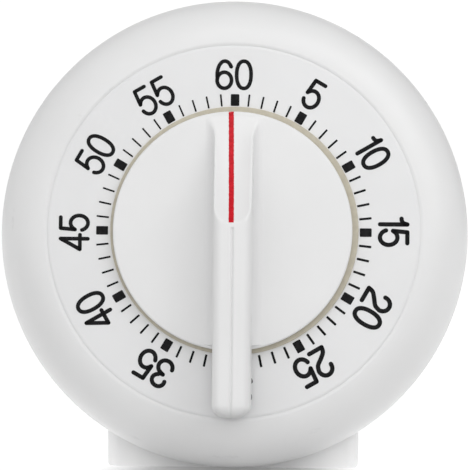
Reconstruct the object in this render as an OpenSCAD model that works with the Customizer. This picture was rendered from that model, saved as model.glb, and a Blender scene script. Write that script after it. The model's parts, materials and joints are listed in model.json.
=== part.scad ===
// Mechanical sixty-minute kitchen timer.
// The face is a plane tilted back a little. Everything but the foot is laid out in a face frame:
// X to the right, Y up the face, Z out of the face, with its zero in the middle of the dial's front.
// The row frame has its zero in the middle of the foot's resting face, with the front towards -Y.

/* [Case] */
// Outer radius of the round case
case_r = 46; // [45.5:0.5:47]
// Depth of the case behind the front of the dial
case_depth = 41; // [41:0.5:43]
// Thickness of the moulded walls
wall = 2.2; // [1.8:0.1:2.4]
// Radius of the seam between the dial and the rounded bezel
seam_r = 36; // [35.8:0.1:36.4]
// Radius of the bezel's rounding
bezel_round = 10.5; // [10:0.1:10.8]
// Radius of the rear edge's rounding
rear_round = 18; // [17:0.5:18.5]
// Depth of the joint between the front and rear housings
parting_depth = 15; // [14.5:0.1:15.5]
// Backward tilt of the face, degrees
face_tilt = 6; // [5:0.5:8]
// Gap between the bezel's lowest point and the table
rim_clearance = 0.8; // [0.5:0.1:1.2]

/* [Foot] */
// Width of the foot
foot_w = 50; // [46:1:54]
// Length of the foot from front to back
foot_l = 22.5; // [21:0.5:24]
// Distance from the dial's middle back to the front of the foot
foot_setback = 11; // [10.8:0.1:11.5]
// Thickness of the foot's floor
foot_floor = 2; // [1.6:0.1:2.6]

/* [Dial] */
// Thickness of the dial plate
dial_t = 1.6; // [1.4:0.1:1.8]
// Outer radius of the beige ring around the knob
ring_r = 24; // [23.8:0.05:24.6]
// Thickness of the beige ring
ring_t = 0.6; // [0.5:0.05:0.6]

/* [Knob] */
// Radius of the knob's disc
disc_r = 23.1; // [22.6:0.1:23.5]
// Thickness of the knob's disc
disc_t = 1.5; // [1.3:0.1:2]
// Width of the finger grip
grip_w = 7.5; // [7:0.1:8.2]
// Height of the grip above the disc
grip_h = 12; // [11:0.5:13]
// Reach of the grip's long end from the axis
grip_reach = 35.7; // [35:0.1:35.8]
// Rounding along the grip's top edges
grip_round = 1.7; // [1.5:0.1:2.2]
// Depth of the scoop along the pointer's ramp
scoop_depth = 1.1; // [0.8:0.1:1.4]

/* [Gear train] */
// Module of the first mesh
mod_1 = 0.45; // [0.44:0.01:0.46]
// Module of the second mesh
mod_2 = 0.35; // [0.34:0.01:0.36]
// Module of the third mesh
mod_3 = 0.25; // [0.24:0.01:0.26]

/* [Bell] */
// Outer radius of the bell
bell_r = 18; // [17.8:0.1:18.2]
// Height of the bell
bell_h = 8.8; // [8:0.2:8.8]
// Thickness of the bell's metal
bell_t = 0.8; // [0.7:0.1:0.8]

/* [Hidden] */
$fn = 96;
eps = 0.01;

// Face frame in the row frame
parting_z = -parting_depth;
bezel_top = 0.3;
bezel_cz = bezel_top - bezel_round;
face_y = -foot_setback - foot_l / 2;
face_z = case_r * cos(face_tilt) - bezel_cz * sin(face_tilt) + rim_clearance;

// Front housing
web_top = -dial_t;
web_t = 1.6;
web_back = web_top - web_t;
hub_hole_r = 5.6;
seat_r = seam_r - 0.1;

// Rear housing
parting_gap = 0.2;
parting_step = 0.4;
rear_r = case_r - parting_step;

// Case screws
case_screw_ring = 34.5;
case_boss_r = 4;
case_shank_r = 1.4;
case_hole_r = 1.7;
case_head_r = 2.7;
case_head_t = 1.6;
case_well_r = 3;
case_seat_z = -36;
case_tip_z = -8;
case_angles = [35, 145, 215, 325];

// Movement plates, pillars and screws
plate_r = 29.6;
plate_t = 1;
front_plate_z = -6;
rear_plate_z = -23;
pillar_ring = 26.5;
pillar_r = 1.8;
pillar_angles = [110, 230, 350];
screw_angles = [50, 170, 290];
stud_r = 1.1;
nut_r = 2.5;
nut_t = 1.8;
boss_r = 2.8;

// Knob
disc_z = 0.9;
disc_top = disc_z + disc_t;
grip_top = disc_top + grip_h;
grip_peak_y = 1;
grip_nose = 3;
disc_edge = 0.4;

// The ramp is an arc from the grip's peak to the disc's edge, sagging below its chord
ramp_sag = 1.3;
ramp_run = disc_r - grip_peak_y;
ramp_chord = sqrt(ramp_run * ramp_run + grip_h * grip_h);
ramp_r = ramp_chord * ramp_chord / (8 * ramp_sag) + ramp_sag / 2;
ramp_lift = (ramp_r - ramp_sag) / ramp_chord;
ramp_at = [grip_peak_y + ramp_run / 2 + ramp_lift * grip_h, grip_top - grip_h / 2 + ramp_lift * ramp_run];
hub_r = 5;
hub_bottom = -3.4;

// Arbors
main_arbor_r = 2;
main_arbor_top = 8;
main_arbor_bottom = -27;
arbor_r = 0.65;
pivot_r = 0.4;
pivot_play = 0.05;
main_play = 0.06;
pivot_reach = 0.8;

// Tooth counts: each wheel drives the next pinion
wheel_1 = 72;
leaves_1 = 12;
wheel_2 = 60;
leaves_2 = 10;
wheel_3 = 60;
leaves_3 = 10;
escape_teeth = 15;
escape_r = 5.5;

// Directions from each arbor to the next, degrees
dir_1 = 52;
dir_2 = 165.3;
dir_3 = 187;
dir_4 = 215;
pallet_distance = 8;

function polar(r, a) = [r * cos(a), r * sin(a)];
function centres(m, a, b) = m * (a + b) / 2;
second_at = polar(centres(mod_1, wheel_1, leaves_1), dir_1);
third_at = second_at + polar(centres(mod_2, wheel_2, leaves_2), dir_2);
escape_at = third_at + polar(centres(mod_3, wheel_3, leaves_3), dir_3);
balance_at = escape_at + polar(pallet_distance, dir_4);

// Levels of the wheels, the back face of each
main_wheel_z = -20.6;
main_wheel_t = 1;
second_wheel_z = -18.2;
second_pinion_z = -21.4;
third_pinion_z = -19.2;
third_wheel_z = -8.8;
escape_pinion_z = -9.8;
escape_wheel_z = -13.6;
balance_wheel_z = -17;
pallet_z = -14.6;
wheel_t = 0.8;

// Mainspring and hairspring
spring_r = 12;
spring_turns = 7;
spring_strip = 0.35;
spring_z = -16;
spring_w = 5.5;
collet_r = 3.2;
spring_post_r = 1;
hair_r = 3.9;
hair_turns = 5;
hair_strip = 0.16;
hair_z = -11.4;
hair_w = 0.4;

// Trip cam, hammer and bell
cam_r = 6.5;
cam_notch_r = 4.9;
cam_z = -26;
cam_t = 1.4;
clip_z = -24.2;
clip_t = 0.8;
hammer_at = [16, 14];
hammer_post_r = 1.2;
hammer_head_at = [11.2, -0.6];
hammer_head_r = 2.4;
hammer_tail_at = [0.4, 7.75];
hammer_tail_r = 1.05;
hammer_z = -26;
hammer_t = 1.2;
head_z = -32;
bell_at = [0, -9];
bell_rim_z = -28;
bell_crown_z = bell_rim_z - bell_h;
bell_post_r = 2;
bell_screw_r = 1.2;

// Stop at the end of the knob's turn
stop_ring = 13;
stop_pin_r = 0.4;
stop_lug_w = 0.5;
stop_gap = 0.03;
stop_dir = 270;
stop_step = (stop_pin_r + stop_lug_w / 2 + stop_gap) / stop_ring * 180 / PI;

// ---- helpers ----

module on_face() {
  translate([0, face_y, face_z]) rotate([90 - face_tilt, 0, 0]) children();
}

module at_each(ring, angles) {
  for (a = angles) translate(polar(ring, a)) children();
}

// Disc or tube between two levels
module rod(r, z0, z1) {
  translate([0, 0, min(z0, z1)]) cylinder(r = r, h = abs(z1 - z0));
}

// Rectangle with two rounded corners at its lower end
module round_foot_2d(w, h, r) {
  translate([-w / 2, r]) square([w, h - r]);
  translate([-w / 2 + r, 0]) square([w - 2 * r, r + eps]);
  for (s = [-1, 1]) translate([s * (w / 2 - r), r]) circle(r);
}

// Toothed outline: addendum and dedendum in modules, tooth widths as shares of the tooth pitch
module teeth_2d(z, m, addendum, dedendum, tip_share, root_share, phase) {
  step = 360 / z;
  tip = m * (z / 2 + addendum);
  root = m * (z / 2 - dedendum);
  polygon([for (i = [0:z - 1], c = [[root, -root_share], [tip, -tip_share], [tip, tip_share], [root, root_share]])
    polar(c[0], phase + step * (i + c[1] / 2))]);
}

module wheel_2d(z, m, phase) {
  teeth_2d(z, m, 0.8, 1.1, 0.16, 0.52, phase);
}

module pinion(z, m, phase, z0, z1, bore) {
  translate([0, 0, z0]) linear_extrude(z1 - z0) difference() {
    teeth_2d(z, m, 0.6, 1.2, 0.16, 0.46, phase);
    circle(bore);
  }
}

// Windows between the spokes of a wheel
module windows_2d(rim, hub, spokes, spoke_w) {
  difference() {
    circle(rim);
    circle(hub);
    for (i = [0:spokes - 1]) rotate(i * 360 / spokes) translate([0, -spoke_w / 2]) square([rim + 1, spoke_w]);
  }
}

// Flat strip wound in a spiral, from radius r0 to radius r1
module spiral_2d(r0, r1, turns, strip, start) {
  steps = 20 * turns;
  grow = (r1 - r0) / steps;
  inner = [for (i = [0:steps]) polar(r0 + grow * i, start + 18 * i)];
  outer = [for (i = [steps:-1:0]) polar(r0 + grow * i + strip, start + 18 * i)];
  polygon(concat(inner, outer));
}

// Arbor with a thinner pivot at each end, running in the two plates
module train_arbor(at, top_shoulder, bottom_shoulder) {
  translate(at) {
    rod(arbor_r, bottom_shoulder, top_shoulder);
    rod(pivot_r, rear_plate_z + plate_t - pivot_reach, front_plate_z + pivot_reach);
  }
}

// ---- case ----

// Square whose corner away from the axis is rounded; up is 1 for the upper corner, -1 for the lower
module rounded_profile_2d(width, far, near, r, up) {
  difference() {
    translate([0, min(far, near)]) square([width, abs(far - near)]);
    difference() {
      translate([width - r, up > 0 ? far - r : far - 1]) square([r + 1, r + 1]);
      translate([width - r, far - up * r]) circle(r);
    }
  }
}

module case_boss(z0, z1) {
  at_each(case_screw_ring, case_angles) rod(case_boss_r, z0, z1);
}

// The front wall's inner rounding shares its centre with the bezel's
module front_profile_2d() {
  difference() {
    rounded_profile_2d(case_r, bezel_top, parting_z, bezel_round, 1);
    intersection() {
      rounded_profile_2d(case_r - wall, bezel_top - wall, parting_z - 1, bezel_round - wall, 1);
      translate([0, parting_z - 2]) square([case_r, web_back - parting_z + 2]);
    }
    translate([0, web_top]) square([seat_r, 5]);
    translate([0, parting_z - 1]) square([hub_hole_r, 2 * parting_depth]);
  }
}

module front_housing() {
  color("whitesmoke") on_face() difference() {
    union() {
      rotate_extrude() front_profile_2d();
      at_each(pillar_ring, screw_angles) rod(boss_r, front_plate_z + plate_t, web_back + 0.5);
      case_boss(parting_z, web_back + 0.5);
    }
    at_each(pillar_ring, screw_angles) rod(stud_r, front_plate_z, web_back + 0.6);
    at_each(case_screw_ring, case_angles) rod(case_shank_r, parting_z - 1, case_tip_z + 1);
  }
}

// Outline of the rear bowl, shrunk by the given amount and open at the joint where it is shrunk
module bowl_2d(inset) {
  rim = parting_z - parting_gap + (inset > 0 ? 1 : 0);
  rounded_profile_2d(rear_r - inset, inset - case_depth, rim, rear_round - inset, -1);
}

// Foot block in the row frame, cut off behind the joint between the housings
module foot_block(inset, floor_z, top_z) {
  w = foot_w - 2 * inset;
  l = foot_l - 2 * inset;
  edge = 2.2 - inset / 2;
  intersection() {
    translate([0, 0, floor_z]) linear_extrude(top_z - floor_z) union() {
      square([w - 2 * edge, l], center = true);
      square([w, l - 2 * edge], center = true);
      for (x = [-1, 1], y = [-1, 1]) translate([x * (w / 2 - edge), y * (l / 2 - edge)]) circle(edge);
    }
    translate([0, l / 2 + 1, floor_z]) rotate([90, 0, 0]) linear_extrude(l + 2)
      round_foot_2d(w, top_z - floor_z + 1, 0.8);
    on_face() translate([0, 0, parting_z - parting_gap - (inset > 0 ? wall : 0) - 50]) cube([100, 140, 100], center = true);
  }
}

// The bowl's lowest curve is cut flat, level with the underside of the foot
module rear_housing() {
  foot_top = 18;
  color("whitesmoke") difference() {
    union() {
      difference() {
        union() {
          on_face() rotate_extrude() bowl_2d(0);
          foot_block(0, 0, foot_top);
        }
        on_face() rotate_extrude() bowl_2d(wall);
        foot_block(wall, foot_floor, foot_top - 1);
      }
      on_face() intersection() {
        case_boss(-case_depth, parting_z - parting_gap);
        rotate_extrude() bowl_2d(0);
      }
    }
    on_face() at_each(case_screw_ring, case_angles) {
      rod(case_hole_r, -case_depth, parting_z + 1);
      rod(case_well_r, -case_depth - 1, case_seat_z);
    }
    translate([-case_r, -case_r, -5]) cube([2 * case_r, 2 * case_r, 5]);
  }
}

module dial_plate() {
  color("white") on_face() difference() {
    rod(seat_r - 0.1, web_top, 0);
    rod(hub_hole_r, web_top - 1, 1);
  }
}

module gap_ring() {
  color([0.7, 0.67, 0.6]) on_face() difference() {
    rod(ring_r, 0, ring_t);
    rod(ring_r - 6, -1, 1);
  }
}

module case_screws() {
  color("silver") on_face() at_each(case_screw_ring, case_angles) difference() {
    union() {
      rod(case_shank_r, case_seat_z, case_tip_z);
      rod(case_head_r, case_seat_z - case_head_t, case_seat_z);
    }
    for (a = [0, 90]) rotate(a) translate([-1.6, -0.3, case_seat_z - case_head_t - 1]) cube([3.2, 0.6, 1.9]);
  }
}

// ---- movement frame ----

module movement_screws() {
  head_z = front_plate_z - 1.2;
  color("silver") on_face() at_each(pillar_ring, screw_angles) difference() {
    union() {
      rod(stud_r, front_plate_z, web_back);
      rod(2, head_z, front_plate_z);
    }
    translate([-2.5, -0.25, head_z - eps]) cube([5, 0.5, 0.5]);
  }
}

module plate_2d(arbor_hole) {
  difference() {
    circle(plate_r);
    circle(arbor_hole);
    for (p = [second_at, third_at, escape_at, balance_at]) translate(p) circle(pivot_r + pivot_play);
    at_each(pillar_ring, pillar_angles) circle(stud_r);
    children();
  }
}

module front_plate() {
  color("lightsteelblue") on_face() translate([0, 0, front_plate_z]) linear_extrude(plate_t)
    plate_2d(main_arbor_r + main_play) {
      at_each(pillar_ring, screw_angles) circle(stud_r + 0.1);
    }
}

module rear_plate() {
  color("lightsteelblue") on_face() translate([0, 0, rear_plate_z]) linear_extrude(plate_t)
    plate_2d(main_arbor_r + main_play) {
      translate(bell_at) circle(bell_screw_r);
      translate(hammer_at) circle(hammer_post_r - 0.3);
      for (x = [-1, 1]) translate([x * 19, -13]) circle(4);
    }
}

module plate_pillars() {
  color("goldenrod") on_face() at_each(pillar_ring, pillar_angles) {
    rod(pillar_r, rear_plate_z + plate_t, front_plate_z);
    rod(stud_r, rear_plate_z - nut_t - 0.4, front_plate_z + plate_t + 0.4);
  }
}

module pillar_nuts() {
  color("goldenrod") on_face() at_each(pillar_ring, pillar_angles) difference() {
    translate([0, 0, rear_plate_z - nut_t]) cylinder(r = nut_r, h = nut_t, $fn = 6);
    rod(stud_r, rear_plate_z - nut_t - 1, rear_plate_z + 1);
  }
}

module mainspring() {
  color("steelblue") on_face() translate([0, 0, spring_z]) linear_extrude(spring_w)
    spiral_2d(collet_r + 0.25, spring_r - spring_strip, spring_turns, spring_strip, 270);
}

module spring_post() {
  color("silver") on_face() translate([0, -spring_r - spring_post_r - 0.05])
    rod(spring_post_r, spring_z - 0.4, front_plate_z);
}

module stop_lug() {
  color("silver") on_face() rotate(stop_dir + stop_step)
    translate([stop_ring - 0.8, -stop_lug_w / 2, rear_plate_z + plate_t]) cube([1.6, stop_lug_w, 1.1]);
}

module hairspring() {
  color("steelblue") on_face() translate([balance_at[0], balance_at[1], hair_z]) linear_extrude(hair_w)
    spiral_2d(arbor_r + 0.3, hair_r - hair_strip, hair_turns, hair_strip, dir_4);
}

module hairspring_stud() {
  color("goldenrod") on_face() translate(balance_at + polar(hair_r + 0.65, dir_4))
    rod(0.6, hair_z - 0.4, front_plate_z);
}

// ---- bell and fixed ringing parts ----

module bell_post() {
  color("silver") on_face() translate(bell_at) {
    rod(bell_screw_r, rear_plate_z, rear_plate_z + plate_t);
    difference() {
      rod(bell_post_r, bell_crown_z + bell_t, rear_plate_z);
      rod(bell_screw_r, bell_crown_z - 1, bell_crown_z + 4);
    }
  }
}

module bell() {
  edge = 4;
  color("gainsboro") on_face() translate([bell_at[0], bell_at[1], bell_crown_z]) rotate_extrude() difference() {
    union() {
      translate([bell_screw_r + 0.1, 0]) square([bell_r - edge - bell_screw_r - 0.1, bell_t]);
      translate([bell_r - bell_t, edge]) square([bell_t, bell_h - edge]);
      intersection() {
        translate([bell_r - edge, edge]) difference() {
          circle(edge);
          circle(edge - bell_t);
        }
        translate([bell_r - edge - eps, 0]) square([edge + eps, edge + eps]);
      }
    }
    translate([-1, -1]) square([1 + bell_screw_r + 0.1, 3]);
  }
}

module bell_screw() {
  color("silver") on_face() translate(bell_at) difference() {
    union() {
      rod(bell_screw_r, bell_crown_z, bell_crown_z + 4);
      rod(2.4, bell_crown_z - 1.2, bell_crown_z);
    }
    translate([-3, -0.3, bell_crown_z - 1.2 - eps]) cube([6, 0.6, 0.5]);
  }
}

module hammer_post() {
  color("silver") on_face() translate(hammer_at) {
    rod(hammer_post_r, hammer_z - 0.9, rear_plate_z);
    rod(hammer_post_r - 0.3, rear_plate_z, rear_plate_z + plate_t);
  }
}

// Leaf that pushes the hammer's long arm towards the bell, with its tip just clear of the arm
module hammer_spring() {
  leaf_l = 8;
  leaf_t = 0.25;
  tab_l = 1.4;
  tab_w = 1.25;
  color("steelblue") on_face() translate([hammer_at[0] - 5.55, hammer_at[1] - 11.9, hammer_z]) rotate(-15) {
    cube([leaf_t, leaf_l, 1]);
    translate([leaf_t - tab_w, leaf_l - tab_l, 0]) cube([tab_w, tab_l, rear_plate_z - hammer_z]);
  }
}

// ---- knob and main arbor ----

// Side outline of the grip: X runs up the face, Y runs out of it
module grip_side_2d() {
  length = grip_reach + disc_r - disc_edge;
  difference() {
    union() {
      translate([-grip_reach, disc_z]) square([length, grip_h + disc_t - grip_nose]);
      translate([-grip_reach + grip_nose, disc_z]) square([length - grip_nose, grip_h + disc_t]);
      translate([-grip_reach + grip_nose, grip_top - grip_nose]) circle(grip_nose);
    }
    translate(ramp_at) circle(ramp_r, $fn = 360);
  }
}

module grip_section_2d() {
  w = grip_w / 2;
  translate([-w, 0]) square([grip_w, grip_top - grip_round]);
  translate([-w + grip_round, 0]) square([grip_w - 2 * grip_round, grip_top]);
  for (s = [-1, 1]) translate([s * (w - grip_round), grip_top - grip_round]) circle(grip_round);
}

module grip_plan_2d() {
  translate([0, -grip_reach]) round_foot_2d(grip_w, grip_reach + disc_r + 1, 3);
}

// Concave fillet between the disc and one side of the grip
module root_fillet() {
  r = 1.9;
  rotate([90, 0, 0]) linear_extrude(2 * disc_r, center = true) difference() {
    translate([grip_w / 2 - eps, disc_top - eps]) square([r, r]);
    translate([grip_w / 2 + r, disc_top + r]) circle(r);
  }
}

// Hollow that follows the ramp's curve, no deeper than the disc's face
module scoop() {
  tube = 3.4;
  intersection() {
    translate([0, ramp_at[0], ramp_at[1]]) rotate([0, 90, 0]) rotate_extrude($fn = 360)
      translate([ramp_r + scoop_depth - tube, 0]) circle(tube);
    translate([-5, grip_peak_y - 3, disc_top - 0.1]) cube([10, disc_r + 5, grip_h + 2]);
  }
}

module knob() {
  color("white") on_face() difference() {
    union() {
      rotate_extrude() {
        translate([0, disc_z]) square([disc_r - disc_edge, disc_t]);
        translate([disc_r - disc_edge - eps, disc_z]) square([disc_edge + eps, disc_t - disc_edge]);
        translate([disc_r - disc_edge, disc_top - disc_edge]) circle(disc_edge);
      }
      rod(hub_r, hub_bottom, disc_z + eps);
      intersection() {
        rotate([90, 0, 90]) linear_extrude(grip_w + 2, center = true) grip_side_2d();
        rotate([90, 0, 0]) linear_extrude(3 * grip_reach, center = true) grip_section_2d();
        linear_extrude(grip_top + 1) grip_plan_2d();
      }
      intersection() {
        for (s = [0, 1]) mirror([s, 0, 0]) root_fillet();
        rod(disc_r - disc_edge, disc_z, grip_top);
        rotate([90, 0, 90]) linear_extrude(20, center = true) grip_side_2d();
      }
    }
    scoop();
    rod(main_arbor_r, hub_bottom - 1, main_arbor_top);
  }
}

module main_arbor() {
  color("silver") on_face() rod(main_arbor_r, main_arbor_bottom, main_arbor_top);
}

module spring_collet() {
  color("goldenrod") on_face() difference() {
    rod(collet_r, spring_z - 0.3, spring_z + spring_w + 0.3);
    rod(main_arbor_r, spring_z - 1, spring_z + spring_w + 1);
  }
}

module main_wheel() {
  color("ivory") on_face() translate([0, 0, main_wheel_z]) linear_extrude(main_wheel_t) difference() {
    wheel_2d(wheel_1, mod_1, dir_1);
    windows_2d(11, 4.4, 5, 2.2);
    circle(main_arbor_r);
    translate(polar(stop_ring, stop_dir)) circle(stop_pin_r);
  }
}

module stop_pin() {
  color("silver") on_face() translate(polar(stop_ring, stop_dir))
    rod(stop_pin_r, main_wheel_z - 0.7, main_wheel_z + main_wheel_t);
}

// Disc with one notch for the hammer's tail
module trip_cam() {
  half_notch = 27;
  color("ivory") on_face() translate([0, 0, cam_z]) linear_extrude(cam_t) difference() {
    circle(cam_r);
    circle(main_arbor_r);
    difference() {
      polygon([[0, 0], polar(2 * cam_r, 90 - half_notch), polar(2 * cam_r, 90 + half_notch)]);
      circle(cam_notch_r);
    }
  }
}

module arbor_clip() {
  color("silver") on_face() difference() {
    rod(3.6, clip_z, clip_z + clip_t);
    rod(main_arbor_r, clip_z - 1, clip_z + 2);
    translate([-1.2, -5, clip_z - 1]) cube([2.4, 5 - main_arbor_r + 0.6, 3]);
  }
}

// ---- gear train ----

module second_arbor() {
  color("silver") on_face() train_arbor(second_at, front_plate_z - 0.4, rear_plate_z + plate_t + 0.2);
}

module second_pinion() {
  color("goldenrod") on_face() translate(second_at)
    pinion(leaves_1, mod_1, dir_1 + 180 + 180 / leaves_1, second_pinion_z, second_wheel_z, arbor_r);
}

module second_wheel() {
  color("ivory") on_face() translate([second_at[0], second_at[1], second_wheel_z]) linear_extrude(wheel_t)
    difference() {
      wheel_2d(wheel_2, mod_2, dir_2);
      windows_2d(8.4, 3, 4, 1.6);
      circle(arbor_r);
    }
}

module third_arbor() {
  color("silver") on_face() train_arbor(third_at, front_plate_z - 0.4, rear_plate_z + plate_t + 0.2);
}

module third_pinion() {
  color("goldenrod") on_face() translate(third_at)
    pinion(leaves_2, mod_2, dir_2 + 180 + 180 / leaves_2, third_pinion_z, third_pinion_z + 2.8, arbor_r);
}

module third_wheel() {
  color("ivory") on_face() translate([third_at[0], third_at[1], third_wheel_z]) linear_extrude(wheel_t)
    difference() {
      wheel_2d(wheel_3, mod_3, dir_3);
      windows_2d(6, 2, 4, 1.2);
      circle(arbor_r);
    }
}

module escape_arbor() {
  color("silver") on_face() train_arbor(escape_at, front_plate_z - 0.4, rear_plate_z + plate_t + 0.2);
}

module escape_pinion() {
  color("goldenrod") on_face() translate(escape_at)
    pinion(leaves_3, mod_3, dir_3 + 180 + 180 / leaves_3, escape_pinion_z, escape_pinion_z + 2.6, arbor_r);
}

// Escape wheel: pointed, raked teeth
module escape_wheel() {
  root = escape_r - 1.4;
  step = 360 / escape_teeth;
  color("goldenrod") on_face() translate([escape_at[0], escape_at[1], escape_wheel_z]) linear_extrude(wheel_t)
    difference() {
      polygon([for (i = [0:escape_teeth - 1], c = [[root, 0.1], [escape_r, 0.42], [escape_r, 0.5], [root, 0.55]])
        polar(c[0], dir_4 + step * (i + c[1]))]);
      windows_2d(root - 0.9, 1.6, 3, 0.9);
      circle(arbor_r);
    }
}

// ---- balance and pallets ----

module balance_staff() {
  color("silver") on_face() train_arbor(balance_at, front_plate_z - 0.4, rear_plate_z + plate_t + 0.2);
}

module balance_wheel() {
  color("goldenrod") on_face() translate([balance_at[0], balance_at[1], balance_wheel_z]) linear_extrude(1)
    difference() {
      circle(6.4);
      windows_2d(5.2, 1.8, 3, 1.1);
      circle(arbor_r);
    }
}

module pallet_lever() {
  reach = 3.6;
  spread = 50;
  color("silver") on_face() translate([balance_at[0], balance_at[1], pallet_z]) {
    linear_extrude(0.8) difference() {
      union() {
        circle(1.7);
        for (s = [-1, 1]) rotate(dir_4 + 180 + s * spread) {
          translate([0, -0.5]) square([reach, 1]);
          translate([reach, 0]) circle(0.5);
        }
      }
      circle(arbor_r);
    }
    for (s = [-1, 1]) rotate(dir_4 + 180 + s * spread) translate([reach, 0, 0.7]) cylinder(r = 0.25, h = 1.3);
  }
}

// ---- hammer ----

module link_2d(a, b, w) {
  d = b - a;
  translate(a) rotate(atan2(d[1], d[0])) translate([0, -w / 2]) square([norm(d), w]);
  translate(b) circle(w / 2);
}

module hammer_arm() {
  color("silver") on_face() translate([0, 0, hammer_z]) linear_extrude(hammer_t) difference() {
    union() {
      translate(hammer_at) circle(3);
      link_2d(hammer_at, hammer_tail_at, 2 * hammer_tail_r);
      link_2d(hammer_at, hammer_head_at, 2.4);
    }
    translate(hammer_at) circle(1.9);
    translate(hammer_head_at) circle(0.9);
  }
}

module hammer_head() {
  color("goldenrod") on_face() translate(hammer_head_at) {
    rod(hammer_head_r, head_z, hammer_z);
    rod(0.9, hammer_z, hammer_z + hammer_t);
  }
}

module hammer_bush() {
  color("goldenrod") on_face() translate(hammer_at) difference() {
    rod(1.9, hammer_z - 0.2, rear_plate_z - 0.3);
    rod(hammer_post_r + pivot_play, hammer_z - 1, rear_plate_z + 1);
  }
}

front_housing();
rear_housing();
dial_plate();
gap_ring();
case_screws();
movement_screws();
front_plate();
rear_plate();
plate_pillars();
pillar_nuts();
mainspring();
spring_post();
stop_lug();
hairspring();
hairspring_stud();
bell_post();
bell();
bell_screw();
hammer_post();
hammer_spring();
knob();
main_arbor();
spring_collet();
main_wheel();
stop_pin();
trip_cam();
arbor_clip();
second_arbor();
second_pinion();
second_wheel();
third_arbor();
third_pinion();
third_wheel();
escape_arbor();
escape_pinion();
escape_wheel();
balance_staff();
balance_wheel();
pallet_lever();
hammer_arm();
hammer_head();
hammer_bush();
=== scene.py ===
import json
import math
import random
from bisect import bisect_right

import bmesh
import bpy
from mathutils import Matrix, Vector


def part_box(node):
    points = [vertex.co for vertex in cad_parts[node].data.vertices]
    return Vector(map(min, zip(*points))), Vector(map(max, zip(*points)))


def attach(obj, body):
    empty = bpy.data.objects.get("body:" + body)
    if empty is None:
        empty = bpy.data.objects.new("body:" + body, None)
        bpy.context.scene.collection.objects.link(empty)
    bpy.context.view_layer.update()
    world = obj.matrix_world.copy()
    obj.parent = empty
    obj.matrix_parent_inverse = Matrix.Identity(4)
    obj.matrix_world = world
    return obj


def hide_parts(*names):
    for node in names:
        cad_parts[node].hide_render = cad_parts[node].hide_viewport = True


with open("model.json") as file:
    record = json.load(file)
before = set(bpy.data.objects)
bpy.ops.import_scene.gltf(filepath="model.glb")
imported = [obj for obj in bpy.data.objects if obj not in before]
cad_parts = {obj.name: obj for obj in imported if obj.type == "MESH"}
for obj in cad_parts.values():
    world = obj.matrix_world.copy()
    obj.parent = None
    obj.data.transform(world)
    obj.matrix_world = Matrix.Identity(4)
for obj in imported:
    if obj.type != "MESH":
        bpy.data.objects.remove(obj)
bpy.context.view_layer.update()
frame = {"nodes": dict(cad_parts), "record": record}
MM = 0.001
random.seed(7)

# ---------------------------------------------------------------- the face frame, from the record
# X to the right, Y up the face, Z out of the face, zero in the middle of the dial's front.

JOINTS = {j["name"]: j for j in frame["record"]["behaviour"]["joints"]}
DIAL_CENTRE = Vector(JOINTS["knob_turn"]["pos_m"])
OUTWARD = -Vector(JOINTS["knob_turn"]["axis"])
RIGHT = Vector((1, 0, 0))
UP_FACE = OUTWARD.cross(RIGHT)
FACE = Matrix.Translation(DIAL_CENTRE) @ Matrix((RIGHT, UP_FACE, OUTWARD)).transposed().to_4x4()


def half_width(node):
    """Half of a CAD node's width across the face, in mm."""
    low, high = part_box(node)
    return (high[0] - low[0]) / 2 / MM


# Sizes in mm, in the face frame. The bezel meets the dial almost level, in a shallow seam.
CASE_R = half_width("front_housing")
DISC_R = half_width("knob")
RING_R = half_width("gap_ring")
DIAL_R = half_width("dial_plate")
SEAT_R = DIAL_R + 0.35
SEAM_GAP = 0.01
SEAM_DEPTH = 0.14
SEAM_LIP = 0.6
BEZEL_ROUND = 10.5
BEZEL_TOP = 0.05
WALL = 2.2
DIAL_T = 1.6
WEB_T = 1.6
PARTING_Z = -15
PARTING_EDGE = 0.35
HUB_HOLE_R = 5.6
RING_T = 0.6
RING_W = 6
RING_EDGE = 0.12
RING_SHIFT = (0.16, 0.15)
DISC_SHIFT = (-0.15, 0)
DISC_Z = 0.9
DISC_TOP = 2.4
DISC_EDGE = 0.4
HUB_R = 5
HUB_BOTTOM = -3.4
GRIP_W = 7.5
GRIP_REACH = 35.7
GRIP_TOP = 14.4
GRIP_PEAK_Y = 1.0
GRIP_NOSE = 2.4
SCREW_RING = 34.5
SCREW_ANGLES = (35, 145, 215, 325)
BOSS_R = 4


# ---------------------------------------------------------------- camera, lights and floor

CAMERA_AWAY, FRAMED_WIDTH = 500, 90.73
CAMERA_RIGHT, CAMERA_ABOVE, CAMERA_ROLL = 8.7, 30.7, 0.44
CAMERA_AIM = (0.3, 0, -0.7)
SENSOR_W = 36


def add_camera():
    """Long lens in front of the face, a little above it and to its right, rolled by a hair."""
    place = Vector((CAMERA_RIGHT, -CAMERA_AWAY, CAMERA_ABOVE)) * MM
    target = Vector(CAMERA_AIM) * MM
    roll = Matrix.Rotation(math.radians(CAMERA_ROLL), 3, "Z").to_quaternion()
    cam = bpy.data.objects.new("camera", bpy.data.cameras.new("camera"))
    cam.location = DIAL_CENTRE + place
    cam.rotation_mode = "QUATERNION"
    cam.rotation_quaternion = (target - place).to_track_quat("-Z", "Y") @ roll
    cam.data.sensor_width = SENSOR_W
    cam.data.lens = SENSOR_W * CAMERA_AWAY / FRAMED_WIDTH
    cam.data.clip_start = 0.01
    bpy.context.collection.objects.link(cam)
    bpy.context.scene.camera = cam


def add_area(name, place, size, power):
    """Soft white panel that faces the dial; place is in metres from the dial's middle."""
    light = bpy.data.objects.new(name, bpy.data.lights.new(name, "AREA"))
    light.data.shape = "RECTANGLE"
    light.data.size, light.data.size_y = size
    light.data.energy = power
    light.location = DIAL_CENTRE + Vector(place)
    light.rotation_mode = "QUATERNION"
    light.rotation_quaternion = (DIAL_CENTRE - light.location).to_track_quat("-Z", "Y")
    bpy.context.collection.objects.link(light)


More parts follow.
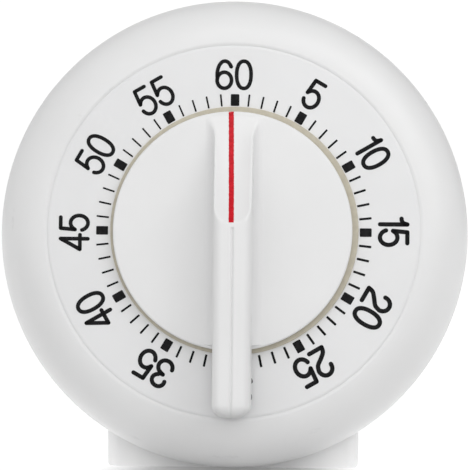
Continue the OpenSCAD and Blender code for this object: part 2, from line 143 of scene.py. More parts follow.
# Strength of the surroundings from each side, and how narrow the light from the front is
SKY_ALL, SKY_FRONT, SKY_RIGHT, SKY_LEFT, SKY_ABOVE, SKY_BEHIND = 0.22, 1.57, 0.11, 0.51, 0.07, 1.05
SKY_FRONT_FOCUS = 2.5
BEHIND_START, BEHIND_FULL = 0.80, 0.96
KEY_POWER, SIDE_POWER = 0.20, 0.32
# The floor's painted glow: its strength before and behind the foot, and the painted shade that dims it
# under the dial, in metres
GLOW_FRONT, GLOW_BACK = 0.0, 0.72
GLOW_START, GLOW_FULL = -0.045, -0.005
UNDER_DIAL, SHADE_R, SHADE_END_R, SHADE_LEFT = (0, -0.020, 0), 0.014, 0.030, 0.2
FLOOR_HALF, FLOOR_TONE = 6, 0.6


def add_world():
    """White surroundings: full white behind, and softer elsewhere, brightest straight ahead."""
    world = bpy.data.worlds.new("studio")
    bpy.context.scene.world = world
    world.use_nodes = True
    tree = world.node_tree

    def math_node(operation, a, b):
        n = tree.nodes.new("ShaderNodeMath")
        n.operation = operation
        for socket, value in zip(n.inputs, (a, b)):
            if isinstance(value, (int, float)):
                socket.default_value = value
            else:
                tree.links.new(value, socket)
        return n.outputs[0]

    towards = tree.nodes.new("ShaderNodeTexCoord").outputs["Generated"]
    split = tree.nodes.new("ShaderNodeSeparateXYZ")
    tree.links.new(towards, split.inputs[0])
    across, depth, height = split.outputs
    right = math_node("MAXIMUM", across, 0)
    left = math_node("MAXIMUM", math_node("MULTIPLY", across, -1), 0)
    above = math_node("MAXIMUM", height, 0)
    ahead = math_node("POWER", math_node("MAXIMUM", math_node("MULTIPLY", depth, -1), 0), SKY_FRONT_FOCUS)
    front = SKY_ALL
    for side, strength in ((ahead, SKY_FRONT), (right, SKY_RIGHT), (left, SKY_LEFT), (above, SKY_ABOVE)):
        front = math_node("ADD", front, math_node("MULTIPLY", side, strength))
    back = tree.nodes.new("ShaderNodeMapRange")
    back.interpolation_type = "SMOOTHSTEP"
    tree.links.new(depth, back.inputs["Value"])
    back.inputs["From Min"].default_value = BEHIND_START
    back.inputs["From Max"].default_value = BEHIND_FULL
    light = tree.nodes.new("ShaderNodeMix")
    tree.links.new(back.outputs["Result"], light.inputs["Factor"])
    tree.links.new(front, light.inputs["A"])
    light.inputs["B"].default_value = SKY_BEHIND
    tree.links.new(light.outputs["Result"], tree.nodes["Background"].inputs["Strength"])
    tree.nodes["Background"].inputs["Color"].default_value = (1, 1, 1, 1)


def add_lights():
    add_world()
    add_area("key_light", (0.08, -0.22, 0.34), (0.30, 0.20), KEY_POWER)
    add_area("side_light", (0.28, -0.22, 0.22), (0.25, 0.30), SIDE_POWER)
    bpy.context.scene.view_settings.view_transform = "Standard"
    bpy.context.scene.view_settings.look = "None"


def add_floor():
    """Pale floor with a painted glow: it glows white from the foot backwards, dimmed by a painted shade
    under the dial.
    """
    mesh = bpy.data.meshes.new("floor")
    s = FLOOR_HALF
    mesh.from_pydata([(-s, -s, 0), (s, -s, 0), (s, s, 0), (-s, s, 0)], [], [(0, 1, 2, 3)])
    floor = bpy.data.objects.new("floor", mesh)
    bpy.context.collection.objects.link(floor)
    m = bpy.data.materials.new("floor_white")
    m.use_nodes = True
    tree = m.node_tree
    p = tree.nodes["Principled BSDF"]
    p.inputs["Base Color"].default_value = (FLOOR_TONE, FLOOR_TONE, FLOOR_TONE, 1)
    p.inputs["Roughness"].default_value = 0.9
    p.inputs["Specular IOR Level"].default_value = 0.0
    p.inputs["Emission Color"].default_value = (1, 1, 1, 1)
    # Painted glow: the floor emits light, none in front of the foot and full behind it
    place = tree.nodes.new("ShaderNodeTexCoord").outputs["Object"]
    split = tree.nodes.new("ShaderNodeSeparateXYZ")
    tree.links.new(place, split.inputs[0])
    glow = tree.nodes.new("ShaderNodeMapRange")
    glow.interpolation_type = "SMOOTHSTEP"
    glow.inputs["From Min"].default_value = GLOW_START
    glow.inputs["From Max"].default_value = GLOW_FULL
    glow.inputs["To Min"].default_value = GLOW_FRONT
    glow.inputs["To Max"].default_value = GLOW_BACK
    tree.links.new(split.outputs["Y"], glow.inputs["Value"])
    # Painted shade: the glow is dimmed near a spot under the dial, down to SHADE_LEFT of its strength
    away = tree.nodes.new("ShaderNodeVectorMath")
    away.operation = "DISTANCE"
    away.inputs[1].default_value = UNDER_DIAL
    tree.links.new(place, away.inputs[0])
    shade = tree.nodes.new("ShaderNodeMapRange")
    shade.interpolation_type = "SMOOTHSTEP"
    shade.inputs["From Min"].default_value = SHADE_R
    shade.inputs["From Max"].default_value = SHADE_END_R
    shade.inputs["To Min"].default_value = SHADE_LEFT
    tree.links.new(away.outputs["Value"], shade.inputs["Value"])
    both = tree.nodes.new("ShaderNodeMath")
    both.operation = "MULTIPLY"
    tree.links.new(glow.outputs["Result"], both.inputs[0])
    tree.links.new(shade.outputs["Result"], both.inputs[1])
    tree.links.new(both.outputs[0], p.inputs["Emission Strength"])
    mesh.materials.append(m)


# ---------------------------------------------------------------- materials

# How far light scatters in plastic, in metres; bump depths, in metres; where wear starts and is full
SCATTER_R = (0.0026, 0.0024, 0.0022)
FINE_BUMP, FAINT_BUMP = 0.00002, 0.00001
WEAR_START, WEAR_FULL = 0.54, 0.64
# The colour sockets of a Mix node set to colours
MIX_A, MIX_B, MIX_RESULT = 6, 7, 2


class Surface:
    """A Principled material under construction, with short calls for the nodes that feed it."""

    def __init__(self, name, roughness, metallic=0.0, coat=0.0, ior=1.5, scatter=0.0, specular=0.5):
        self.m = bpy.data.materials.new(name)
        self.m.use_nodes = True
        self.tree = self.m.node_tree
        self.p = self.tree.nodes["Principled BSDF"]
        self.p.inputs["Roughness"].default_value = roughness
        self.p.inputs["Metallic"].default_value = metallic
        self.p.inputs["Coat Weight"].default_value = coat
        self.p.inputs["Coat Roughness"].default_value = 0.2
        self.p.inputs["IOR"].default_value = ior
        self.p.inputs["Specular IOR Level"].default_value = specular
        self.p.inputs["Subsurface Weight"].default_value = scatter
        self.p.inputs["Subsurface Radius"].default_value = SCATTER_R
        self.p.inputs["Subsurface Scale"].default_value = 1.0
        self.place = self.node("ShaderNodeTexCoord").outputs["Object"]

    def node(self, kind, **values):
        n = self.tree.nodes.new(kind)
        for key, value in values.items():
            if key in n.inputs:
                n.inputs[key].default_value = value
            else:
                setattr(n, key, value)
        return n

    def link(self, a, b):
        self.tree.links.new(a, b)

    def noise(self, scale, detail=3.0, rough=0.5, stretch=None):
        """Noise in the object's own place; scale is in cells per metre."""
        n = self.node("ShaderNodeTexNoise", Scale=scale, Detail=detail, Roughness=rough)
        if stretch:
            mapping = self.node("ShaderNodeMapping")
            mapping.inputs["Scale"].default_value = stretch
            self.link(self.place, mapping.inputs["Vector"])
            self.link(mapping.outputs["Vector"], n.inputs["Vector"])
        else:
            self.link(self.place, n.inputs["Vector"])
        return n.outputs["Fac"]

    def ramp(self, source, low, high, start=0.35, end=0.65):
        r = self.node("ShaderNodeValToRGB")
        r.color_ramp.elements[0].position = start
        r.color_ramp.elements[0].color = (*low, 1)
        r.color_ramp.elements[1].position = end
        r.color_ramp.elements[1].color = (*high, 1)
        self.link(source, r.inputs["Fac"])
        return r.outputs["Color"]

    def colour(self, source, low, high, start=0.35, end=0.65):
        """Colour from a noise."""
        self.link(self.ramp(source, low, high, start, end), self.p.inputs["Base Color"])

    def worn_colour(self, source, low, high, worn, start=0.35, end=0.65):
        """Colour from a noise, turning to the worn colour on outer edges, in patches."""
        edges = self.node("ShaderNodeMapRange")
        edges.inputs["From Min"].default_value = WEAR_START
        edges.inputs["From Max"].default_value = WEAR_FULL
        self.link(self.node("ShaderNodeNewGeometry").outputs["Pointiness"], edges.inputs["Value"])
        patches = self.node("ShaderNodeMath", operation="MULTIPLY")
        self.link(edges.outputs["Result"], patches.inputs[0])
        self.link(self.ramp(self.noise(900, 4), (0, 0, 0), (1, 1, 1), 0.42, 0.62), patches.inputs[1])
        mix = self.node("ShaderNodeMix", data_type="RGBA")
        self.link(patches.outputs[0], mix.inputs["Factor"])
        self.link(self.ramp(source, low, high, start, end), mix.inputs[MIX_A])
        mix.inputs[MIX_B].default_value = (*worn, 1)
        self.link(mix.outputs[MIX_RESULT], self.p.inputs["Base Color"])

    def roughness(self, source, low, high):
        """Roughness from a noise, between low and high."""
        r = self.node("ShaderNodeMapRange")
        r.inputs["From Min"].default_value = 0.3
        r.inputs["From Max"].default_value = 0.7
        r.inputs["To Min"].default_value = low
        r.inputs["To Max"].default_value = high
        self.link(source, r.inputs["Value"])
        self.link(r.outputs["Result"], self.p.inputs["Roughness"])

    def bump(self, source, strength, depth):
        """Adds a layer of bump over the ones already there; depth is in metres."""
        b = self.node("ShaderNodeBump", Strength=strength, Distance=depth)
        self.link(source, b.inputs["Height"])
        normal = self.p.inputs["Normal"]
        if normal.links:
            self.link(normal.links[0].from_socket, b.inputs["Normal"])
        self.link(b.outputs["Normal"], normal)


def white_plastic(name, tone, rough, grain, scatter, worn=0.90):
    """Moulded white plastic: slight shade drift, fine spark grain, faint scratches, rubbed edges."""
    s = Surface(name, rough, coat=0.08, ior=1.5, scatter=scatter)
    low = tuple(c * 0.975 for c in tone)
    s.worn_colour(s.noise(70, 4), low, tone, tuple(c * worn for c in tone), 0.3, 0.7)
    s.roughness(s.noise(260, 3), rough - 0.05, rough + 0.06)
    s.bump(s.noise(3800, 2), grain, FINE_BUMP)
    s.bump(s.noise(500, 2, stretch=(1, 1, 9)), 0.06, FINE_BUMP)
    return s.m


def make_materials():
    """One material for each slot of the record, and two for the print and the line."""
    made = {
        "case_white": white_plastic("case_white", (0.82, 0.82, 0.82), 0.36, 0.10, 0.08),
        "dial_white": white_plastic("dial_white", (0.82, 0.82, 0.823), 0.45, 0.16, 0.08, 0.99),
        "knob_white": white_plastic("knob_white", (0.825, 0.825, 0.825), 0.34, 0.08, 0.0),
    }
    s = Surface("ring_beige", 0.6)
    s.colour(s.noise(900, 3), (0.50, 0.46, 0.37), (0.55, 0.51, 0.41))
    s.roughness(s.noise(700), 0.55, 0.7)
    s.bump(s.noise(5000), 0.2, FINE_BUMP)
    made["ring_beige"] = s.m
    s = Surface("print_black", 0.5, specular=0.1)
    s.colour(s.noise(1500, 3), (0.004, 0.004, 0.0045), (0.012, 0.012, 0.013))
    s.roughness(s.noise(1200), 0.36, 0.5)
    s.bump(s.noise(6000), 0.2, FAINT_BUMP)
    made["print_black"] = s.m
    s = Surface("paint_red", 0.4, specular=0.2)
    s.colour(s.noise(1800, 3), (0.50, 0.004, 0.012), (0.64, 0.010, 0.022))
    s.roughness(s.noise(1500), 0.32, 0.48)
    s.bump(s.noise(4000), 0.25, FINE_BUMP)
    made["paint_red"] = s.m
    for name, low, high, rough in (
        ("plate_steel", (0.50, 0.51, 0.53), (0.60, 0.61, 0.63), 0.38),
        ("screw_steel", (0.48, 0.48, 0.50), (0.60, 0.60, 0.61), 0.30),
        ("arbor_steel", (0.50, 0.50, 0.51), (0.62, 0.62, 0.63), 0.22),
        ("spring_steel", (0.16, 0.20, 0.30), (0.24, 0.28, 0.38), 0.28),
        ("brass", (0.62, 0.44, 0.16), (0.76, 0.56, 0.24), 0.27),
        ("bell_chrome", (0.66, 0.66, 0.67), (0.74, 0.74, 0.74), 0.14),
    ):
        s = Surface(name, rough, metallic=1.0)
        s.worn_colour(s.noise(420, 4), low, high, tuple(min(c * 1.2, 0.9) for c in high))
        s.roughness(s.noise(900, 3, stretch=(1, 1, 6)), rough - 0.06, rough + 0.10)
        s.bump(s.noise(2500, 3, stretch=(8, 1, 1)), 0.12, FINE_BUMP)
        made[name] = s.m
    s = Surface("nylon_ivory", 0.45, scatter=0.15)
    s.colour(s.noise(500, 3), (0.72, 0.66, 0.50), (0.80, 0.75, 0.60))
    s.roughness(s.noise(900), 0.4, 0.55)
    s.bump(s.noise(4000), 0.15, FINE_BUMP)
    made["nylon_ivory"] = s.m
    return made


# ---------------------------------------------------------------- mesh helpers, all in mm in the face frame

def finish_piece(name, bm, material, body, replaced=(), smooth_angle=35):
    """Turns a bmesh in face-frame millimetres into a piece that rides on a body."""
    bmesh.ops.remove_doubles(bm, verts=bm.verts, dist=1e-5)
    bmesh.ops.recalc_face_normals(bm, faces=bm.faces)
    mesh = bpy.data.meshes.new(name)
    bm.to_mesh(mesh)
    bm.free()
    mesh.transform(FACE @ Matrix.Scale(MM, 4))
    for f in mesh.polygons:
        f.use_smooth = True
    mesh.set_sharp_from_angle(angle=math.radians(smooth_angle))
    mesh.materials.append(material)
    piece = bpy.data.objects.new(name, mesh)
    bpy.context.collection.objects.link(piece)
    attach(piece, body)
    if replaced:
        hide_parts(*replaced)
    return piece


def arc(cx, cz, r, a0, a1, steps):
    """Points on an arc in the (radius, height) plane, angles in degrees from the radius axis."""
    return [
        (cx + r * math.cos(math.radians(a)), cz + r * math.sin(math.radians(a)))
        for a in (a0 + (a1 - a0) * i / steps for i in range(steps + 1))
    ]


def lathe(bm, profile, around=256, centre=(0, 0)):
    """Closed profile of (radius, height) points turned about the face's axis, or about centre."""
    rings = []
    for r, z in profile:
        if r < 1e-6:
            rings.append([bm.verts.new((centre[0], centre[1], z))])
        else:
            rings.append([
                bm.verts.new((centre[0] + r * math.cos(t), centre[1] + r * math.sin(t), z))
                for t in (2 * math.pi * i / around for i in range(around))
            ])
    for a, b in zip(rings, rings[1:] + rings[:1]):
        if len(a) == 1 and len(b) == 1:
            continue
        for i in range(around):
            j = (i + 1) % around
            corners = [a[i % len(a)], a[j % len(a)], b[j % len(b)], b[i % len(b)]]
            corners = list(dict.fromkeys(corners))
            if len(corners) > 2:
                bm.faces.new(corners)


def polar(r, degrees):
    return r * math.cos(math.radians(degrees)), r * math.sin(math.radians(degrees))


# ---------------------------------------------------------------- case

def front_shell(materials):
    """Bezel, rim and inner web in one turned shell, with the screw bosses behind it."""
    bm = bmesh.new()
    cr, cz = CASE_R - BEZEL_ROUND, BEZEL_TOP - BEZEL_ROUND
    inner = BEZEL_ROUND - WALL
    web_back = -DIAL_T - WEB_T
    start = math.degrees(math.acos((SEAT_R + SEAM_LIP - cr) / BEZEL_ROUND))
    lip_z = cz + BEZEL_ROUND * math.sin(math.radians(start))
    stop = math.degrees(math.asin((web_back - cz) / inner))
    rise = lip_z + SEAM_DEPTH
    steps = [i / 10 for i in range(11)]
    profile = (
        [(HUB_HOLE_R, -DIAL_T), (SEAT_R, -DIAL_T)]
        + [(SEAT_R + SEAM_LIP * u, rise * math.sin(u * math.pi / 2) - SEAM_DEPTH) for u in steps]
        + arc(cr, cz, BEZEL_ROUND, start, 0, 48)[1:]
        + arc(CASE_R - PARTING_EDGE, PARTING_Z + PARTING_EDGE, PARTING_EDGE, 0, -90, 5)
        + [(CASE_R - WALL, PARTING_Z), (CASE_R - WALL, cz)]
        + arc(cr, cz, inner, 0, stop, 24)[1:]
        + [(HUB_HOLE_R, web_back)]
    )
    lathe(bm, profile)
    for a in SCREW_ANGLES:
        boss = [(0, web_back + 0.3), (BOSS_R, web_back + 0.3), (BOSS_R, PARTING_Z), (0, PARTING_Z)]
        lathe(bm, boss, 48, polar(SCREW_RING, a))
    finish_piece("front_shell", bm, materials["case_white"], "case", ["front_housing"])


def dial_face(materials):
    """White dial; its edge and the bezel's dip into a shallow seam."""
    bm = bmesh.new()
    outer = SEAT_R - SEAM_GAP
    steps = [i / 6 for i in range(7)]
    profile = (
        [(HUB_HOLE_R, -DIAL_T), (HUB_HOLE_R, 0)]
        + [(outer - SEAM_LIP + SEAM_LIP * u, SEAM_DEPTH * (math.cos(u * math.pi / 2) - 1)) for u in steps]
        + [(outer, -DIAL_T)]
    )
    lathe(bm, profile)
    finish_piece("dial_face", bm, materials["dial_white"], "case", ["dial_plate"])


def beige_ring(materials):
    """Flat ring glued to the dial a little off centre."""
    bm = bmesh.new()
    profile = (
        [(RING_R - RING_W, 0.01), (RING_R - RING_W, RING_T)]
        + arc(RING_R - RING_EDGE, RING_T - RING_EDGE, RING_EDGE, 90, 0, 4)
        + [(RING_R, 0.01)]
    )
    lathe(bm, profile, centre=RING_SHIFT)
    finish_piece("beige_ring", bm, materials["ring_beige"], "case", ["gap_ring"])


# ---------------------------------------------------------------- printed scale

INK_BASE, INK_T = 0.002, 0.03
MINUTE = 6
TICK_IN, TICK_OUT, MINOR_LONGER = 24.35, 26.65, 0.1
MAJOR_W, MAJOR_ROUND = 1.66, 0.18
MINOR_W, MINOR_ROUND = 0.40, 0.12
FIGURE_R = 30.65
FIGURE_H, FIGURE_W, STROKE = 6.08, 3.58, 0.79
FIGURE_STEP = 3.78
KERN_ONE = (-0.1, -0.5)
# The figures' print sits askew by a hair: its shift, and its stretch along and across each axis
PRINT_SHIFT = (0.064, -0.024)
PRINT_SKEW_X = (0.008, -0.0073)
PRINT_SKEW_Y = (0.015, -0.0073)
# The figures and the thin marks are a little bolder towards one angle, clockwise from 60
BOLDER, TICK_BOLDER, BOLDEST_AT = 0.09, 0.18, 140
# Sharpest bend that a ribbon of ink follows, in degrees; steps round its ends; the same place, in mm
CORNER, END_STEPS, TOUCH = 35, 6, 1e-6


def slab(bm, outline):
    """Flat plate of ink with the given outline."""
    low = [bm.verts.new((x, y, INK_BASE)) for x, y in outline]
    high = [bm.verts.new((x, y, INK_T)) for x, y in outline]
    bm.faces.new(high)
    bm.faces.new(low[::-1])
    for i in range(len(outline)):
        j = (i + 1) % len(outline)
        bm.faces.new((low[i], low[j], high[j], high[i]))


def rounded_bar(half_w, y0, y1, r, steps=5):
    """Outline of an upright bar with rounded corners."""
    points = []
    x, low, high = half_w - r, y0 + r, y1 - r
    for cx, cy, start in ((x, high, 0), (-x, high, 90), (-x, low, 180), (x, low, 270)):
        points += arc(cx, cy, r, start, start + 90, steps)
    return points


def turned(points, degrees, shift=(0, 0)):
    """Points moved by shift, then turned clockwise as seen from the front."""
    c, s = math.cos(math.radians(degrees)), math.sin(math.radians(degrees))
    moved = [(x + shift[0], y + shift[1]) for x, y in points]
    return [(x * c + y * s, -x * s + y * c) for x, y in moved]


def askew(x, y):
    """How far the print is off at a place on the dial."""
    dx = PRINT_SHIFT[0] + PRINT_SKEW_X[0] * x + PRINT_SKEW_X[1] * y
    dy = PRINT_SHIFT[1] + PRINT_SKEW_Y[0] * x + PRINT_SKEW_Y[1] * y
    return dx, dy


def boldness(share, minute):
    """How much bolder than usual the print is at a minute."""
    return 1 + share * math.cos(math.radians(MINUTE * minute - BOLDEST_AT))


def minute_ticks(materials):
    """Sixty marks round the ring: a block at each fifth minute, and a thin one at the others."""
    bm = bmesh.new()
    for minute in range(60):
        if minute % 5 == 0:
            bar = rounded_bar(MAJOR_W / 2, TICK_IN, TICK_OUT, MAJOR_ROUND)
        else:
            half = MINOR_W / 2 * boldness(TICK_BOLDER, minute)
            bar = rounded_bar(half, TICK_IN, TICK_OUT + MINOR_LONGER, MINOR_ROUND)
        slab(bm, [(x + PRINT_SHIFT[0], y + PRINT_SHIFT[1]) for x, y in turned(bar, MINUTE * minute)])
    finish_piece("minute_ticks", bm, materials["print_black"], "case", smooth_angle=20)


def oval(cx, cy, rx, ry, a0, a1, steps=28, square=2.0):
    """Elliptic arc between angles in degrees, anticlockwise from the right.

    A value of square above 2 fills its corners.
    """
    def bend(v):
        return math.copysign(abs(v) ** (2 / square), v)

    angles = (math.radians(a0 + (a1 - a0) * i / steps) for i in range(steps + 1))
    return [(cx + rx * bend(math.cos(a)), cy + ry * bend(math.sin(a))) for a in angles]


def flowing(points, steps=8):
    """Smooth line through a few given points (Catmull-Rom)."""
    ends = [points[0]] + points + [points[-1]]
    line = []
    for p0, p1, p2, p3 in zip(ends, ends[1:], ends[2:], ends[3:]):
        for i in range(steps):
            t = i / steps
            line.append(tuple(
                0.5 * (
                    2 * b + (c - a) * t
                    + (2 * a - 5 * b + 4 * c - d) * t * t
                    + (3 * b - a - 3 * c + d) * t**3
                )
                for a, b, c, d in zip(p0, p1, p2, p3)
            ))
    return line + [points[-1]]


def figure_strokes(digit):
    """Centre lines of a digit's strokes, in a box of 2 by 2 about the digit's middle."""
    if digit == "0":
        return [oval(0, 0, 1, 1, 0, 360, 56, square=2.25)]
    if digit == "1":
        return [[(0.58, -1), (0.58, 1)], flowing([(0.58, 1), (0.40, 0.72), (0.10, 0.60), (-0.22, 0.57)])]
    if digit == "2":
        neck = flowing([(0.97, 0.45), (0.68, 0.04), (-0.20, -0.33), (-0.80, -0.64), (-0.98, -1)])
        return [oval(0, 0.45, 0.97, 0.55, 186, 0, 28) + neck, [(-0.98, -1), (0.98, -1)]]
    if digit == "3":
        top = oval(-0.02, 0.57, 0.90, 0.43, 196, -62, 30)
        bottom = oval(0, -0.50, 1, 0.50, 66, -174, 30)
        middle = (-0.20, 0.05)
        return [top + flowing([top[-1], (0.20, 0.07), middle], 5), [middle, (0.05, 0.02)] + bottom]
    if digit == "4":
        return [[(0.50, -1), (0.50, 1), (-0.97, -0.42), (1.04, -0.42)]]
    if digit == "5":
        return [[(0.76, 1), (-0.76, 1), (-0.94, -0.05)] + oval(-0.02, -0.36, 1.03, 0.64, 148, -162, 34)]
    if digit == "6":
        return [oval(0, -0.41, 1, 0.59, 0, 360, 44), oval(0.07, 0, 1.07, 1, 36, 196, 34)]
    raise ValueError(digit)


def sideways(along):
    """The direction a quarter turn to the left of another."""
    return Vector((-along.y, along.x))


def round_end(p, along, half):
    """Pairs of edge points round an end of a line of ink, from the end outwards."""
    pairs = []
    for i in range(1, END_STEPS + 1):
        t = math.pi / 2 * i / END_STEPS
        middle, side = p + along * half * math.sin(t), sideways(along) * half * math.cos(t)
        pairs.append((middle + side, middle - side))
    return pairs


def ribbon(line, half):
    """Pairs of edge points along a smooth line of ink, and whether the line is closed."""
    line = [Vector(p) for p in line]
    closed = (line[0] - line[-1]).length < TOUCH
    steers = [(b - a).normalized() for a, b in zip(line, line[1:])]
    first, last = (steers[-1], steers[0]) if closed else (steers[0], steers[-1])
    pairs = []
    for p, before, after in zip(line, [first] + steers, steers + [last]):
        along = (before + after).normalized()
        reach = half / along.dot(after)
        pairs.append((p + sideways(along) * reach, p - sideways(along) * reach))
    if closed:
        return pairs[:-1], True
    front = [(b, a) for a, b in round_end(line[0], -steers[0], half)]
    return front[::-1] + pairs + round_end(line[-1], steers[-1], half), False


def split_at_corners(line):
    """The line in pieces that have no sharp corner and no point twice in a row."""
    line = [p for i, p in enumerate(line) if i == 0 or math.dist(p, line[i - 1]) > TOUCH]
    pieces, start = [], 0
    for i in range(1, len(line) - 1):
        into, out = Vector(line[i]) - Vector(line[i - 1]), Vector(line[i + 1]) - Vector(line[i])
        if abs(into.angle_signed(out)) > math.radians(CORNER):
            pieces.append(line[start:i + 1])
            start = i
    return pieces + [line[start:]]


def draw_line(bm, line, half, place):
    """Flat ribbon of ink along a line, in one closed solid for each stretch between corners."""
    for piece in split_at_corners(line):
        pairs, closed = ribbon(piece, half)
        left, right = (place([tuple(pair[side]) for pair in pairs]) for side in (0, 1))
        rings = []
        for a, b in zip(left, right):
            corners = ((a, INK_T), (b, INK_T), (b, INK_BASE), (a, INK_BASE))
            rings.append([bm.verts.new((x, y, z)) for (x, y), z in corners])
        following = rings[1:] + ([rings[0]] if closed else [])
        for one, two in zip(rings, following):
            for i in range(4):
                j = (i + 1) % 4
                bm.faces.new((one[j], one[i], two[i], two[j]))


def dial_figures(materials):
    """Figures 5 to 60 round the scale, with their feet towards the middle."""
    bm = bmesh.new()
    for minute in range(5, 61, 5):
        text = str(minute)
        off_x, off_y = askew(*turned([(0, FIGURE_R)], MINUTE * minute)[0])
        stroke = STROKE * boldness(BOLDER, minute)
        for i, digit in enumerate(text):
            dx = (i - (len(text) - 1) / 2) * FIGURE_STEP
            if text[0] == "1":
                dx += KERN_ONE[i]

            def place(points):
                there = turned(points, MINUTE * minute, (dx, FIGURE_R))
                return [(x + off_x, y + off_y) for x, y in there]

            for line in figure_strokes(digit):
                line = [(x * (FIGURE_W - STROKE) / 2, y * (FIGURE_H - STROKE) / 2) for x, y in line]
                draw_line(bm, line, stroke / 2, place)
    finish_piece("dial_figures", bm, materials["print_black"], "case", smooth_angle=20)


# ---------------------------------------------------------------- knob

FILLET_R = 2.1
RAMP_SAG = 1.3
RAMP_END = 22.1
SCOOP = 1.0
SCOOP_FADE = 9.0
LEDGE = 0.3
BLEND = 0.3
SINK = 0.03
GROOVE, GROOVE_SHAPE = 0.35, (1, 0.7, 0.2)
DRAFT = 0.15
SHOULDER_R = 1.7
SOFT_EDGE = 0.5
# Points on half of a section: in all, and before evening out on its top, shoulder, wall and fillet
HALF_POINTS = 120
TOP_STEPS, SHOULDER_STEPS, WALL_STEPS, FILLET_STEPS = 60, 60, 80, 40
NO_RAMP = 99.0
END_R = 2.5
NOSE_ROWS = 22
PARTING_END = GRIP_PEAK_Y - 1.0
LINE_W = 0.98
LINE_INNER, LINE_OUTER = -0.19, -0.61
LINE_ROUGH = 0.03
PAINT_T = 0.03


def soft_min(a, b, reach):
    """The lower of two heights, blended where they are within reach of each other."""
    h = min(max(0.5 + 0.5 * (b - a) / reach, 0), 1)
    return b + (a - b) * h - reach * h * (1 - h)


def disc_top(x, y):
    """Height of the knob's disc, with its rounded edge."""
    past = max(math.hypot(x, y) - (DISC_R - DISC_EDGE), 0)
    return DISC_TOP - DISC_EDGE + math.sqrt(max(DISC_EDGE**2 - past**2, 0))


def ramp_middle(y):
    """Height of the ramp along its middle: a sagging arc from the grip's top to the disc.

    It is NO_RAMP where the arc has no such place.
    """
    run = RAMP_END - GRIP_PEAK_Y
    rise = GRIP_TOP - DISC_TOP
    chord = math.hypot(run, rise)
    r = chord * chord / (8 * RAMP_SAG) + RAMP_SAG / 2
    lift = (r - RAMP_SAG) / chord
    cy, cz = GRIP_PEAK_Y + run / 2 + lift * rise, GRIP_TOP - rise / 2 + lift * run
    if abs(y - cy) >= r:
        return NO_RAMP
    return cz - math.sqrt(r * r - (y - cy) ** 2)


def side_reach(z, w, base, fillet):
    """How far out the grip's side is at a height, down its drafted wall and its fillet."""
    below = base + fillet - z
    if below <= 0:
        return w + DRAFT * below / (GRIP_TOP - SHOULDER_R - base - fillet)
    return w + fillet - math.sqrt(max(fillet**2 - min(below, fillet) ** 2, 0))


def ramp_top(x, y, w, base, fillet):
    """Height of the ramp's dished surface; its crests follow the grip's sides."""
    middle = ramp_middle(y)
    if middle == NO_RAMP:
        return middle
    fade = min(max((RAMP_END - y) / SCOOP_FADE, 0), 1)
    depth = SCOOP * fade * fade * (3 - 2 * fade)
    crest_x = max(side_reach(middle + depth, w, base, fillet) - LEDGE, 1)
    return middle + depth * min(abs(x) / crest_x, 1) ** 2


def grip_outline(y):
    """(half width, top) of the grip at a place along it, with its rounded nose."""
    half = GRIP_W / 2
    t = y + GRIP_REACH
    w = half if t >= END_R else half - END_R + math.sqrt(max(END_R**2 - (END_R - t) ** 2, 0))
    top = GRIP_TOP
    if t < GRIP_NOSE:
        top = GRIP_TOP - GRIP_NOSE + math.sqrt(max(GRIP_NOSE**2 - (GRIP_NOSE - t) ** 2, 0))
    return w, top


def half_section(y):
    """Half of the grip's cross-section from its middle out and down, in even steps."""
    w, top = grip_outline(y)
    fillet = min(FILLET_R, math.sqrt(max((DISC_R - DISC_EDGE) ** 2 - y * y, 0)) - w)
    base = DISC_TOP - SINK if fillet > 0 else DISC_Z + SINK
    fillet = max(fillet, 0.01)
    shoulder = min(SHOULDER_R, w * 0.9)
    flat = w - DRAFT - shoulder
    points = [(flat * i / TOP_STEPS, top) for i in range(TOP_STEPS)]
    points += [(flat + shoulder * math.sin(a), top - shoulder + shoulder * math.cos(a))
               for a in (math.pi / 2 * i / SHOULDER_STEPS for i in range(SHOULDER_STEPS))]
    drop = top - shoulder - base - fillet
    points += [(w - DRAFT * (1 - i / WALL_STEPS), top - shoulder - drop * i / WALL_STEPS)
               for i in range(WALL_STEPS + 1)]
    points += [(w + fillet - fillet * math.cos(a), base + fillet - fillet * math.sin(a))
               for a in (math.pi / 2 * i / FILLET_STEPS for i in range(1, FILLET_STEPS + 1))]
    cut = [(x, max(soft_min(z, ramp_top(x, y, w, base, fillet), BLEND), base)) for x, z in points]
    return even(cut, HALF_POINTS, SOFT_EDGE)


def even(points, count, soft):
    """The same line with its corners softened, in count even steps."""
    steps = [0.0]
    for a, b in zip(points, points[1:]):
        steps.append(steps[-1] + math.hypot(b[0] - a[0], b[1] - a[1]))
    total = steps[-1]

    def at(s):
        if s < 0:
            x, z = at(-s)
            return -x, z
        s = min(s, total)
        hi = bisect_right(steps, s, 1, len(steps) - 1)
        lo = hi - 1
        span = steps[hi] - steps[lo]
        t = (s - steps[lo]) / span if span > 1e-12 else 0
        a, b = points[lo], points[hi]
        return a[0] + (b[0] - a[0]) * t, a[1] + (b[1] - a[1]) * t

    line = []
    for i in range(count + 1):
        s = total * i / count
        reach = min(soft, total - s)
        weights = [(k, math.exp(-2 * (k / 4) ** 2)) for k in range(-4, 5)]
        pts = [(at(s + reach * k / 4), wt) for k, wt in weights]
        mass = sum(wt for _, wt in pts)
        line.append((sum(p[0] * wt for p, wt in pts) / mass, sum(p[1] * wt for p, wt in pts) / mass))
    line[0] = (0.0, line[0][1])
    return line


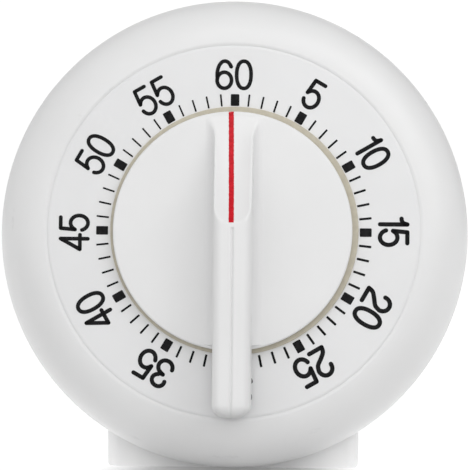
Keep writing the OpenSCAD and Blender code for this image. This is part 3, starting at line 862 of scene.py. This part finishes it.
def loft(bm, sections):
    """Closed skin over mirrored half sections, with a fine parting line down the long end."""
    rows = []
    for y, half in sections:
        if y < PARTING_END:
            half = [(x, z - GROOVE * share) for (x, z), share in zip(half, GROOVE_SHAPE)] + half[3:]
        line = [(-x, z) for x, z in half[:0:-1]] + half
        bottom = DISC_Z + SINK
        line = [(line[0][0], bottom - SINK / 2)] + line + [(line[-1][0], bottom - SINK / 2)]
        rows.append([bm.verts.new((x, y, z)) for x, z in line])
    n = len(rows[0])
    for a, b in zip(rows, rows[1:]):
        for i in range(n):
            j = (i + 1) % n
            bm.faces.new((a[i], a[j], b[j], b[i]))
    bm.faces.new(rows[0])
    bm.faces.new(rows[-1])


def spaced(a, b, step):
    """Even places from a to b, about step apart."""
    count = max(2, round((b - a) / step))
    return [a + (b - a) * i / count for i in range(count + 1)]


def knob(materials):
    """Turned disc and hub, with the grip and its ramp standing on it as a loft."""
    bm = bmesh.new()
    profile = (
        [(0, HUB_BOTTOM), (HUB_R, HUB_BOTTOM), (HUB_R, DISC_Z)]
        + [(DISC_R - 0.1, DISC_Z), (DISC_R, DISC_Z + 0.1)]
        + arc(DISC_R - DISC_EDGE, DISC_TOP - DISC_EDGE, DISC_EDGE, 0, 90, 8)
        + [(DISC_R * k / 8, DISC_TOP) for k in range(7, 0, -1)]
        + [(0, DISC_TOP)]
    )
    lathe(bm, profile, centre=DISC_SHIFT)
    rim = math.sqrt((DISC_R - DISC_EDGE) ** 2 - (GRIP_W / 2) ** 2)
    toe = math.sqrt((DISC_R - DISC_EDGE) ** 2 - (GRIP_W / 2 + FILLET_R) ** 2)
    tip = -GRIP_REACH + 0.02
    ys = [tip + GRIP_NOSE * (1 - math.cos(math.pi / 2 * i / NOSE_ROWS)) for i in range(NOSE_ROWS + 1)]
    ys += spaced(ys[-1], -rim - 0.004, 0.5)[1:]
    ys += spaced(-rim + 0.004, -toe, 0.05)
    ys += spaced(-toe, toe, 0.25)[1:]
    ys += spaced(toe, RAMP_END - 0.01, 0.05)[1:]
    loft(bm, [(y, half_section(y)) for y in ys])
    finish_piece("knob_body", bm, materials["knob_white"], "setting", ["knob"], smooth_angle=50)


def line_height(x, y):
    """Height of the ramp, or of the disc beyond it, under the painted line."""
    on_ramp = soft_min(GRIP_TOP, ramp_top(x, y, GRIP_W / 2, DISC_TOP, FILLET_R), BLEND)
    return max(on_ramp, disc_top(x, y)) if y < RAMP_END else disc_top(x, y)


def pointer_line(materials):
    """Painted line down the scoop, a touch off centre at its outer end, with slightly uneven edges."""
    bm = bmesh.new()
    rows = []
    start, end = GRIP_PEAK_Y + 0.05, DISC_R - 0.06
    for y in spaced(start, end, 0.2):
        middle = LINE_INNER + (LINE_OUTER - LINE_INNER) * (y - start) / (end - start)
        left = middle - LINE_W / 2 + random.uniform(-LINE_ROUGH, LINE_ROUGH)
        right = middle + LINE_W / 2 + random.uniform(-LINE_ROUGH, LINE_ROUGH)
        across = [left + (right - left) * i / 4 for i in range(5)]
        heights = [line_height(x, y) for x in across]
        under = [bm.verts.new((x, y, z - 0.3)) for x, z in zip(across, heights)]
        over = [bm.verts.new((x, y, z + PAINT_T)) for x, z in zip(across, heights)]
        rows.append(under[::-1] + over)
    for a, b in zip(rows, rows[1:]):
        for i in range(len(a)):
            j = (i + 1) % len(a)
            bm.faces.new((a[i], a[j], b[j], b[i]))
    bm.faces.new(rows[0])
    bm.faces.new(rows[-1])
    finish_piece("pointer_line", bm, materials["paint_red"], "setting", smooth_angle=40)


# ---------------------------------------------------------------- CAD nodes that stay

def dress_nodes(materials):
    """Gives every CAD node the material of its slot."""
    slots = {s["node"]: s["material_slot"] for s in frame["record"]["subparts"]}
    for name, node in frame["nodes"].items():
        node.data.materials.clear()
        node.data.materials.append(materials[slots[name]])


add_camera()
add_lights()
add_floor()
MATERIALS = make_materials()
dress_nodes(MATERIALS)
front_shell(MATERIALS)
dial_face(MATERIALS)
beige_ring(MATERIALS)
minute_ticks(MATERIALS)
dial_figures(MATERIALS)
knob(MATERIALS)
pointer_line(MATERIALS)
